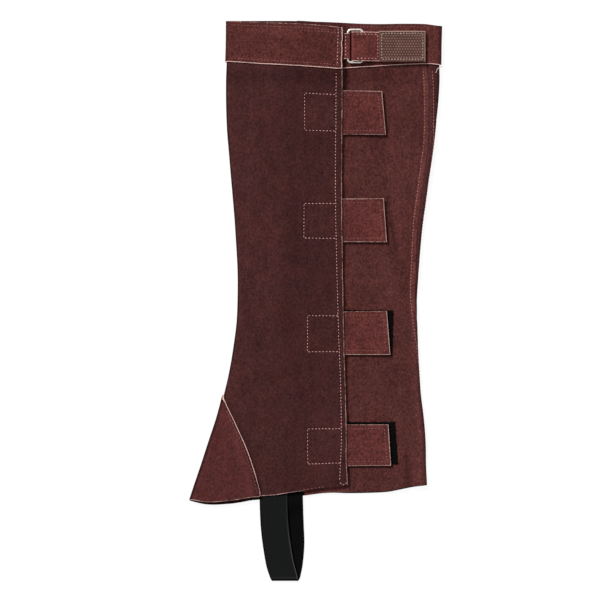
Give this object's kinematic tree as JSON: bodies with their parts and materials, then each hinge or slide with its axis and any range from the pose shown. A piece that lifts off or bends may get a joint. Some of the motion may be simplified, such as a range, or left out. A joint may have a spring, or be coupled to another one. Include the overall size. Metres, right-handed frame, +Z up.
{
  "type": "half chap",
  "caption": "Suede half chap lying flat, with flared foot gusset, hook and loop tabs down the closure, ring and strap on the top band, and an elastic foot loop.",
  "frame": {"origin": "on the surface that the half chap lies on, below the middle of its bounding box", "axes": "+X across the leg from the shin fold to the calf fold, +Y up the leg from the foot to the band at the top, +Z up from the surface, out of the closure side"},
  "size_m": [0.2284, 0.5047, 0.012],
  "materials": {
    "suede": "dark burgundy suede, napped and matte",
    "gusset_suede": "burgundy suede, napped and matte",
    "band_suede": "burgundy suede, napped and matte",
    "tab_suede": "burgundy suede, napped and matte, with a pale raw edge",
    "patch_leather": "stamped brown leather, satin",
    "pile": "black loop pile",
    "elastic": "black ribbed elastic webbing",
    "nickel": "polished nickel wire"
  },
  "bodies": {
    "root": {"main_panel": "suede", "under_panel": "suede", "foot_gusset": "gusset_suede", "top_band": "band_suede", "closure_tab_1": "tab_suede", "closure_tab_2": "tab_suede", "closure_tab_3": "tab_suede", "closure_tab_4": "tab_suede", "loop_patch_1": "pile", "loop_patch_2": "pile", "loop_patch_3": "pile", "loop_patch_4": "pile", "ring_keeper": "tab_suede", "strap_ring": "nickel", "top_strap": "tab_suede", "strap_patch": "patch_leather", "foot_elastic": "elastic"}
  },
  "joints": []
}
